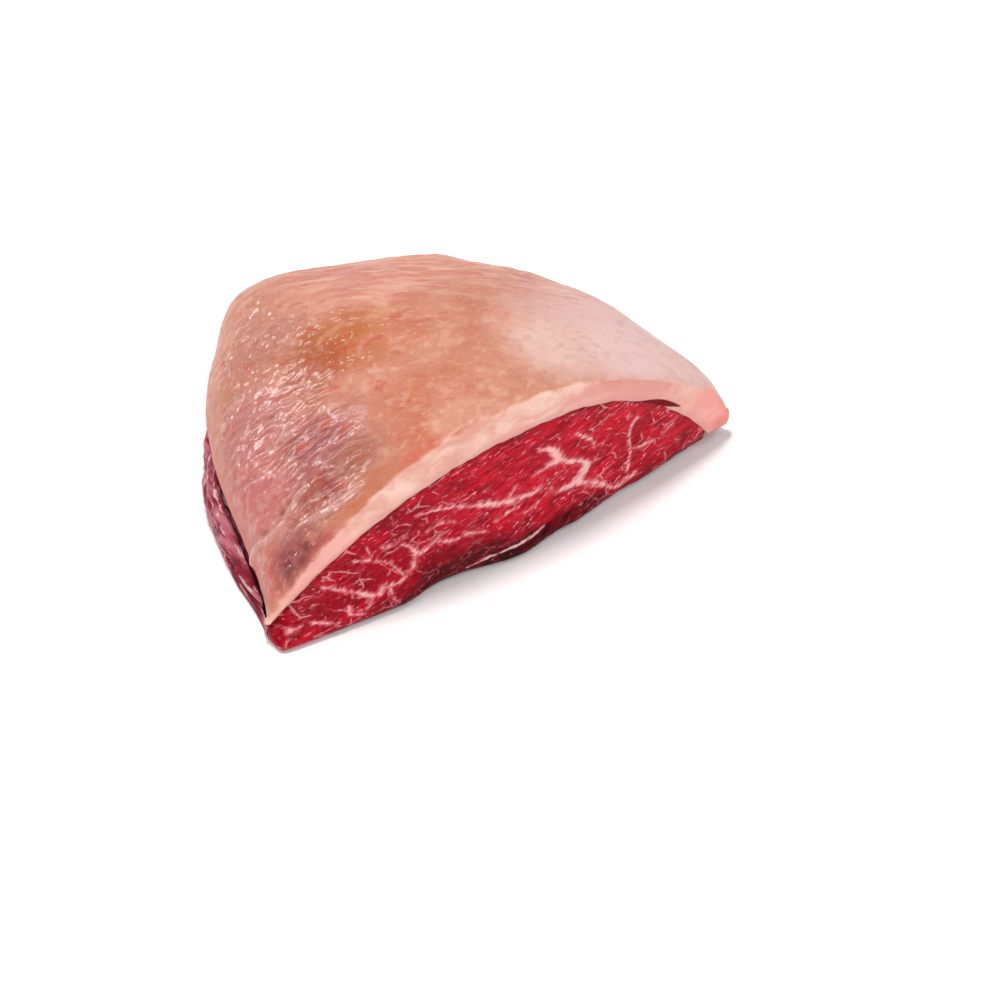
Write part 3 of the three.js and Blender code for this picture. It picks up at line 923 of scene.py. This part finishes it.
# Patterns of the fat: ground, sizes in mm, levels of the noise where it sets in, seed, turn and detail
FAT_PATTERNS = {
    "blotch": ("place", (17, 13, 13), (0.35, 0.7), 1),
    "drip": ("wander", (5, 26, 20), (0.45, 0.65), 2),
    "dull": ("gentle", (4.5, 3.6, 4), (0.5, 0.7), 3),
    "pale": ("gentle", (5, 4, 4), (0.52, 0.7), 4, 0, 1),
    "fine": ("gentle", (1.8, 1.5, 1.6), (0.55, 0.75), 19, 0, 1),
    "red_fleck": ("gentle", (2.4, 1.4, 1.9), (0.55, 0.72), 18, -30),
    "red_blotch": ("gentle", (7, 3.4, 6), (0.54, 0.67), 15, -30, 4),
    # Painted glints: pale dots where this noise peaks
    "grain": ("gentle", (1.6, 1.3, 1.5), (0.6, 0.68), 16, -30, 1),
    "cluster": ("place", (9, 7, 8), (0.45, 0.6), 17),
    "streak": ("gentle", (13, 2.8, 6), (0.4, 0.64), 5, -33, 3),
    "clear": ("wander", (14, 6, 14), (0.5, 0.66), 6, -26),
    "dark": ("gentle", (5, 4, 4.5), (0.46, 0.56), 20),
    "thread": ("gentle", (5, 1.1, 4), (0.63, 0.7), 8, -24, 3),
    "threads": ("place", (34, 26, 30), (0.5, 0.62), 7),
    "rag": ("place", (8, 5, 5), (0.2, 0.8), 10, 0, 4),
    "cloud": ("wander", (12, 9, 5), (0.35, 0.7), 11),
    "band_fleck": ("wander", (5, 4, 1.4), (0.62, 0.7), 12),
    "wet": ("wander", (8, 3.5, 6), (0.4, 0.62), 13),
    "pucker": ("place", (2.2, 1.1, 2.2), (0.2, 0.8), 14, -8, 3),
}
# Where blood stayed, and where painted glints, pale dots, lie round the stain: place in the cut's frame and
# radii
BLOODY = ((62, 62, 52), (75, 90, 60))
GLINT_AREA = ((66, 66, 58), (32, 34, 30))
# How far the edge between the cut and the top strays, in mm to either side
RAGGED_EDGE = 1.8
# Masks that set in from one value of another mask to a second one
FAT_FADES = {
    "near_cut": ("from_crest", 40, 8),
    # Painted shade in the hollows of the relief, and pale crests that are partly a painted highlight
    "pit_shade": ("crests", 0.1, -0.75),
    "crest": ("crests", 0.1, 0.8),
    "rim": ("from_lip", 9, 1.5),
    "behind_cut": ("edge", 4.5, 0.6),
    "on_cut": ("edge", 1.2, -1.4),
    "near_lean": ("band", 0.45, 0),
    "in_sliver": ("sliver", 0.4, -0.3),
}
# Values that follow a mask: moist all over, wettest on the membrane, and dull in the sliver of lean
FAT_SPANS = {
    "rough": ("wet", 0.5, 0.38),
    "coat": ("wet", 0.45, 0.85),
    "shine": ("in_sliver", 0.35, 0.05),
    "soft": ("in_sliver", 0.2, 0),
    "pucker_depth": ("membrane", 0.2, 0.65),
}
LEAST_COAT = 0.06

# Layers over the patches of the top: colour, strength and masks
FAT_LAYERS = (
    # Drips down to the cut and fine mottling
    ("#dda78f", 0.25, "drip", "near_cut"),
    ("#b86e5b", 0.25, "dull"),
    ("#e2b8a6", 0.25, "pale"),
    ("#edccb8", 0.16, "fine"),
    # Red where blood stayed, long in the direction of the folds, and painted glints, pale dots in clusters
    # round the stain
    ("#a85a48", 0.35, "red_fleck", "bloody"),
    ("#bd5545", 0.75, "red_blotch", "bloody"),
    ("#f2d2be", 0.6, "grain", "grainy", "cluster"),
    # Streaks of pink and cream in the folds at the far side
    ("folded", 0.6, "folds"),
    # The puckered membrane: painted shade in the hollows of its relief, pale crests that are partly thin film
    # and partly painted highlight, clear tan places and two creases
    ("#8a423f", 0.5, "pit_shade", "membrane"),
    ("#dbaaa6", 0.35, "crest", "membrane"),
    ("#bf7a5e", 0.25, "clear", "membrane"),
    ("#d9a49c", 0.5, "ridge"),
)
# Layers over the stains: the bruise, threads of blood vessels, a peach rim, an orange edge and the cut band
FAT_LAST_LAYERS = (
    ("#6f2c30", 0.6, "dark", "bruise"),
    ("#b4504a", 0.6, "thread", "threads", "bloody"),
    ("#cc6e63", 0.75, "rim"),
    ("#d39375", 0.2, "behind_cut"),
    ("cut_band", 1.0, "on_cut"),
)
# Layers over the patches of the cut band: pinker towards the lean, with flecks and the sliver of lean
BAND_LAYERS = (
    ("#d2908b", 0.6, "near_lean"),
    ("#d9806c", 0.4, "band_fleck"),
    ("#70000c", 1.0, "in_sliver"),
)


def fat_material(middle):
    """Beef fat under a moist membrane: creamy and dull where it is cut, tan to pink and blotched on top,
    and glossy where the membrane puckers, so that it glints in short streaks."""
    material, tree, shader, field = new_material("beef_fat_under_membrane", (
        "band", "from_crest", "from_lip", "membrane", "folds", "ridge", "bruise", "crests", "sliver"))
    place = add(tree, COORDINATES, {}, {}, OBJECT_PLACE)
    wander = strayed(tree, place, length=13, reach=16)
    waver = strayed(tree, place, length=6, reach=6)
    gentle = strayed(tree, place, length=9, reach=3)
    field.update(place=place, wander=wander, gentle=gentle)
    add_patterns(tree, field, FAT_PATTERNS)
    field["bloody"] = patch(tree, wander, *BLOODY, 0, middle)
    field["grainy"] = patch(tree, wander, *GLINT_AREA, 0, middle)
    ragged = add(tree, RANGE, {}, {0: field["rag"], 3: -RAGGED_EDGE, 4: RAGGED_EDGE})
    field["edge"] = add(tree, MATH, ADD, {0: field["from_crest"], 1: ragged})
    add_ranges(tree, field, FAT_FADES, FAT_SPANS)
    field["folded"] = over(tree, "#c47c6b", "#dcaa97", [field["streak"]])

    # The cut band is cream pink with faint clouds; the top is tan with soft blotches
    band = over(tree, "#dd9f8f", "#eec6b6", [field["cloud"]])
    band = lay_patches(tree, band, BAND_PATCHES, wander, wander, middle)
    field["cut_band"] = lay(tree, band, BAND_LAYERS, field)
    colour = over(tree, "#c07a62", "#ca8a72", [field["blotch"]])
    colour = lay_patches(tree, colour, FAT_PATCHES, wander, waver, middle)
    colour = lay(tree, colour, FAT_LAYERS, field)
    colour = lay_patches(tree, colour, FAT_STAINS, waver, waver, middle)
    colour = lay(tree, colour, FAT_LAST_LAYERS, field)

    # The coat is the wet film; fine puckers are bump alone, because they are too small for the mesh
    coat = add(tree, MATH, MULTIPLY, {0: field["coat"], 1: field["membrane"]})
    coat = add(tree, MATH, MAXIMUM, {0: coat, 1: field["ridge"]})
    coat = add(tree, MATH, MAXIMUM, {0: coat, 1: LEAST_COAT})
    pucker = add(tree, MATH, MULTIPLY, {0: field["pucker"], 1: field["pucker_depth"]})
    bump = add(tree, "ShaderNodeBump", {}, {"Height": pucker, "Strength": 1.0, "Distance": 0.5 * MM})
    connect(tree, shader, {
        "Base Color": colour,
        "Roughness": field["rough"],
        "IOR": 1.42,
        "Specular IOR Level": field["shine"],
        "Coat Weight": coat,
        "Coat Roughness": 0.2,
        "Coat IOR": 1.6,
        "Subsurface Weight": field["soft"],
        "Subsurface Radius": (1.0, 0.45, 0.3),
        "Subsurface Scale": 3 * MM,
        "Normal": bump,
    })
    return material


# Patterns, masks and values of the lean, given as for the fat
LEAN_PATTERNS = {
    "bundle": ("wander", (10, 5, 8), (0.34, 0.66), 1, 14, 3),
    "gap": ("gentle", (5, 1.6, 4), (0.52, 0.66), 2, 17, 3),
    "shade": ("wander", (9, 3, 8), (0.35, 0.6), 16, 14, 3),
    "crowd": ("place", (18, 8, 12), (0.4, 0.58), 3, 14),
    "streak": ("gentle", (7, 1.3, 4), (0.5, 0.64), 19, 20, 3),
    "flush": ("wander", (7, 2.6, 6), (0.38, 0.62), 20, 14, 3),
    "long_fleck": ("gentle", (5, 1.3, 4), (0.57, 0.7), 4, 18, 1),
    "fleck": ("gentle", (3.8, 0.9, 3), (0.61, 0.72), 5, 18, 1),
    "short_fleck": ("gentle", (2.8, 0.8, 2), (0.65, 0.76), 6, 18, 1),
    "broken": ("place", (7, 5, 7), (0.48, 0.6), 17, 0, 3),
    "rag": ("gentle", (2.8, 1.1, 2), (0.25, 0.75), 8, 18, 4),
    "silver": ("wander", (11, 3, 6), (0.42, 0.6), 9, 4, 3),
    "red_strand": ("wander", (26, 5, 9), (0.54, 0.62), 15),
    "pale_strand": ("wander", (10, 1.0, 5), (0.54, 0.64), 10, 5, 3),
    "dark_strand": ("wander", (9, 1.2, 5), (0.53, 0.63), 18, 4, 3),
    "wet": ("place", (4, 2, 4), (0.35, 0.65), 11),
    "speck": ("place", (2.4, 1.2, 2), (0.58, 0.7), 12, 9),
    "fibre": ("place", (1.8, 0.7, 1.5), (0.2, 0.8), 13, 9),
}
LEAN_FADES = {
    "at_left": ("along", 92, 60),
    "at_right": ("along", 112, 135),
    # Painted shade in the grooves between bundles of the relief
    "groove": ("crests", 0, -0.33),
    "under_seam": ("below_seam", 2, 0.2),
    # Painted shade in the grooves of the wall's folds
    "wall_groove_shade": ("crests", -0.1, -0.8),
}
LEAN_SPANS = {
    "shaded": ("shade", 0.65, 1),
    "crowded": ("crowd", 0.15, 1),
    "clear_of_foot": ("foot", 1, 0.4),
    "ragged": ("rag", -0.8, 1.1),
    "rough": ("wet", 0.3, 0.45),
    "coat": ("speck", 0, 0.35),
}
# Layers of the veins and of the film on the fold, by distance in mm from an edge that frays along the grain
VEIN_FADES = {
    "vein_blush": ("frayed_vein", 1.5, -0.4),
    "vein_core": ("frayed_vein", 0.8, -0.8),
    "vein_heart": ("frayed_vein", 0, -1.3),
    "film_core": ("frayed_film", 0.2, -0.4),
}
FILM_FRAYED = 0.3
# The part of the cut face that is flushed a brighter red, as x and height, and its radii and turn
FLUSHED = ((118, 23, 0), (56, 24, 60), -8)
# The net of thin fat round the bundles: size of its meshes in mm, and the shares of a mesh at which a thread
# starts and is full
NET_SIZE = (8, 5.5, 8)
NET_THREAD = (0.075, 0.01)

# Layers over the bundles: colour, strength and masks
LEAN_LAYERS = (
    # Duller on the left, dark gaps between fibres, painted shade in the grooves between bundles and on the
    # loose fold, a dark foot that is partly painted shade, and a dark line under the seam
    ("#860b1f", 0.25, "at_left"),
    ("#560512", 0.42, "gap"),
    ("#5a0714", 0.35, "groove"),
    ("#4a0410", 1.0, "foot", "shaded"),
    ("#34030a", 1.0, "fold", "shaded"),
    ("#6c0816", 0.55, "under_seam"),
    # Pale streaks of the bulge, the flush, and small flecks of fat along the grain, thicker in some places
    ("#d84656", 0.75, "streak", "bulge"),
    ("#d01c31", 0.55, "flush", "flushed"),
    ("#c43c4c", 0.7, "long_fleck", "flecked"),
    ("#dc7480", 0.85, "fleck", "flecked"),
    ("#f2b8b5", 0.9, "short_fleck", "flecked"),
    # A net of thin fat round the bundles, broken here and there, at both ends of the cut
    ("#e09a9c", 0.65, "net", "broken", "ends", "open_face"),
    # Veins that blush into the lean, and the film on the fold
    ("#c23c4c", 0.6, "vein_blush"),
    ("#d98085", 0.9, "vein_core"),
    ("#efb5b0", 0.9, "vein_heart"),
    ("#eec4c0", 0.9, "film_core"),
    # Silverskin over the wall and the underside
    ("silverskin", 1.0, "wall"),
)
# Layers of the silverskin: maroon folds with red, pale and dark strands, painted shade in the grooves of its
# folds, and painted shade in the crevice
WALL_LAYERS = (
    ("#b01a30", 0.75, "red_strand"),
    ("#520a18", 0.5, "wall_groove_shade"),
    ("#dcb2b6", 0.9, "pale_strand"),
    ("#561020", 0.6, "dark_strand"),
    ("#330510", 0.85, "crevice"),
)


def lean_material():
    """Raw beef cut across the grain: moist crimson fibre bundles with dark gaps and painted shade in their
    grooves, pink veins and flecks of fat, maroon with painted shade where it rounds under, painted shade on
    its loose fold, and a dull violet silverskin on its wall with painted shade in its folds and crevice."""
    material, tree, shader, field = new_material("raw_beef_lean", (
        "face", "wall", "below_seam", "foot", "fold", "vein", "film", "bulge", "crests", "crevice"))
    grain = add(tree, ATTRIBUTE, {"attribute_name": "grain"}, {}, MARK_VECTOR)
    place = add(tree, VECTOR, SCALE, {0: grain, SCALE_BY: MM})
    wander = strayed(tree, place, length=7, reach=4)
    gentle = strayed(tree, place, length=9, reach=1.6)
    field.update(place=place, wander=wander, gentle=gentle)
    field["along"] = add(tree, "ShaderNodeSeparateXYZ", {}, {0: grain})
    add_patterns(tree, field, LEAN_PATTERNS)
    add_ranges(tree, field, LEAN_FADES, LEAN_SPANS)
    ragged = field["ragged"]
    field["frayed_vein"] = add(tree, MATH, ADD, {0: field["vein"], 1: ragged})
    field["frayed_film"] = add(tree, MATH, MULTIPLY_ADD, {0: ragged, 1: FILM_FRAYED, 2: field["film"]})
    add_ranges(tree, field, VEIN_FADES, {})
    open_face = add(tree, MATH, MULTIPLY, {0: field["clear_of_foot"], 1: field["face"]})
    crowd = add(tree, MATH, MAXIMUM, {0: field["crowded"], 1: field["bulge"]})
    field["open_face"] = open_face
    field["flecked"] = add(tree, MATH, MULTIPLY, {0: crowd, 1: open_face})
    field["flushed"] = patch(tree, place, *FLUSHED)
    field["ends"] = add(tree, MATH, MAXIMUM, {0: field["at_left"], 1: field["at_right"]})
    bent = strayed(tree, place, length=4, reach=3)
    sized = add(tree, VECTOR, DIVIDE, {0: bent, 1: [k * MM for k in NET_SIZE]})
    net = add(tree, "ShaderNodeTexVoronoi", {"feature": "DISTANCE_TO_EDGE", "voronoi_dimensions": "2D"}, {
        "Vector": sized, "Scale": 1.0})
    field["net"] = add(tree, RANGE, SMOOTH, {0: net, 1: NET_THREAD[0], 2: NET_THREAD[1]})

    silverskin = over(tree, "#8c2233", "#c06c78", [field["silver"]])
    field["silverskin"] = lay(tree, silverskin, WALL_LAYERS, field)
    colour = over(tree, "#8c0215", "#c40923", [field["bundle"]])
    colour = lay(tree, colour, LEAN_LAYERS, field)

    # Moist, with small wet specks and fine fibres
    bump = add(tree, "ShaderNodeBump", {}, {"Height": field["fibre"], "Strength": 0.45, "Distance": 0.4 * MM})
    connect(tree, shader, {
        "Base Color": colour,
        "Roughness": field["rough"],
        "IOR": 1.38,
        "Specular IOR Level": 0.12,
        "Coat Weight": field["coat"],
        "Coat Roughness": 0.12,
        "Subsurface Weight": 0.08,
        "Subsurface Radius": (1.0, 0.3, 0.25),
        "Subsurface Scale": 2 * MM,
        "Normal": bump,
    })
    return material


def floor_material():
    """Matt white studio floor: an even pale ground with the faintest mottle."""
    material, tree, shader, _ = new_material("matt_white_floor")
    place = add(tree, COORDINATES, {}, {}, OBJECT_PLACE)
    mottle = pattern(tree, place, (60, 60, 60), (0.2, 0.8), 1)
    connect(tree, shader, {
        "Base Color": over(tree, "#fbfbfb", "#ffffff", [mottle]),
        "Roughness": 0.9,
        "Specular IOR Level": 0.0,
    })
    return material


# Pieces

fat_skin = skin(fat_outline, FAT_SECTIONS, LAST_FAT_SECTION)
lean_skin = skin(lean_outline, LEAN_SECTIONS, LAST_LEAN_SECTION)
both = np.concatenate([fat_skin.points, lean_skin.points])
middle = (both.min(0) + both.max(0)) / 2
middle[2] = 0

lean_mesh = skin_mesh("lean_muscle", lean_skin, middle)
lean = relieved("lean_muscle", lean_mesh, LEAN_RELIEF, LEAN_LINES, "grain", lean_material())
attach(lean, "root")
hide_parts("lean")

fat_mesh = skin_mesh("fat_layer", fat_skin, middle)
fat = relieved("fat_layer", fat_mesh, FAT_RELIEF, FAT_LINES, None, fat_material(middle))
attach(fat, "root")
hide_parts("fat_cap")


# Studio

FLOOR_HALF = 3.0
floor_mesh = bpy.data.meshes.new("floor")
corners = [(FLOOR_HALF * x, FLOOR_HALF * y, 0) for x, y in ((-1, -1), (1, -1), (1, 1), (-1, 1))]
floor_mesh.from_pydata(corners, [], [(0, 1, 2, 3)])
floor_mesh.materials.append(floor_material())
floor = put("floor", floor_mesh)

# Soft oblong lamps that face the middle of the piece: name, place and size in metres, watts, and the
# direction of the first side
LAMPS_FACE = Vector((0, 0, 0.03))
LAMPS = (
    ("overhead", (0.0, 0.24, 1.5), (0.25, 0.25), 12.5, (1, 0, 0)),
    ("strip", (-0.61, 0.88, 0.9), (1.0, 0.14), 8, (-0.81, 0, -0.59)),
    ("fill", (-0.55, -1.4, 0.42), (0.5, 0.5), 10, (1, 0, 0)),
    ("side", (1.0, -0.6, 1.35), (1.2, 1.2), 9, (1, 0, 0)),
)
for name, place, size, watts, along in LAMPS:
    light = bpy.data.lights.new(name, "AREA")
    light.shape = "RECTANGLE"
    light.size, light.size_y = size
    light.energy = watts
    holder = put(name, light)
    holder.location = place
    back = (Vector(place) - LAMPS_FACE).normalized()
    across = (Vector(along) - back * back.dot(Vector(along))).normalized()
    holder.rotation_euler = Matrix((across, back.cross(across), back)).transposed().to_euler()

AMBIENT = 0.2
world = bpy.data.worlds.new("studio")
world.use_nodes = True
connect(world.node_tree, world.node_tree.nodes["Background"], {"Color": (1, 1, 1, 1), "Strength": AMBIENT})
bpy.context.scene.world = world
bpy.context.scene.view_settings.view_transform = "Standard"

# The camera: where it looks in the cut's frame, from which side, how high and how far, and its lens
AIM = (105.2, 15.5, 0.0)
AZIMUTH = math.radians(-32.2)
ELEVATION = math.radians(45.0)
DISTANCE = 0.8731
FOCAL_LENGTH = 85
SENSOR_WIDTH = 36
lens = bpy.data.cameras.new("camera")
lens.lens = FOCAL_LENGTH
lens.sensor_width = SENSOR_WIDTH
camera = put("camera", lens)
behind = Vector((
    math.sin(AZIMUTH) * math.cos(ELEVATION),
    -math.cos(AZIMUTH) * math.cos(ELEVATION),
    math.sin(ELEVATION),
))
camera.location = Vector((np.array(AIM) - middle) * MM) + behind * DISTANCE
camera.rotation_euler = (-behind).to_track_quat("-Z", "Y").to_euler()
bpy.context.scene.camera = camera

bpy.context.view_layer.update()
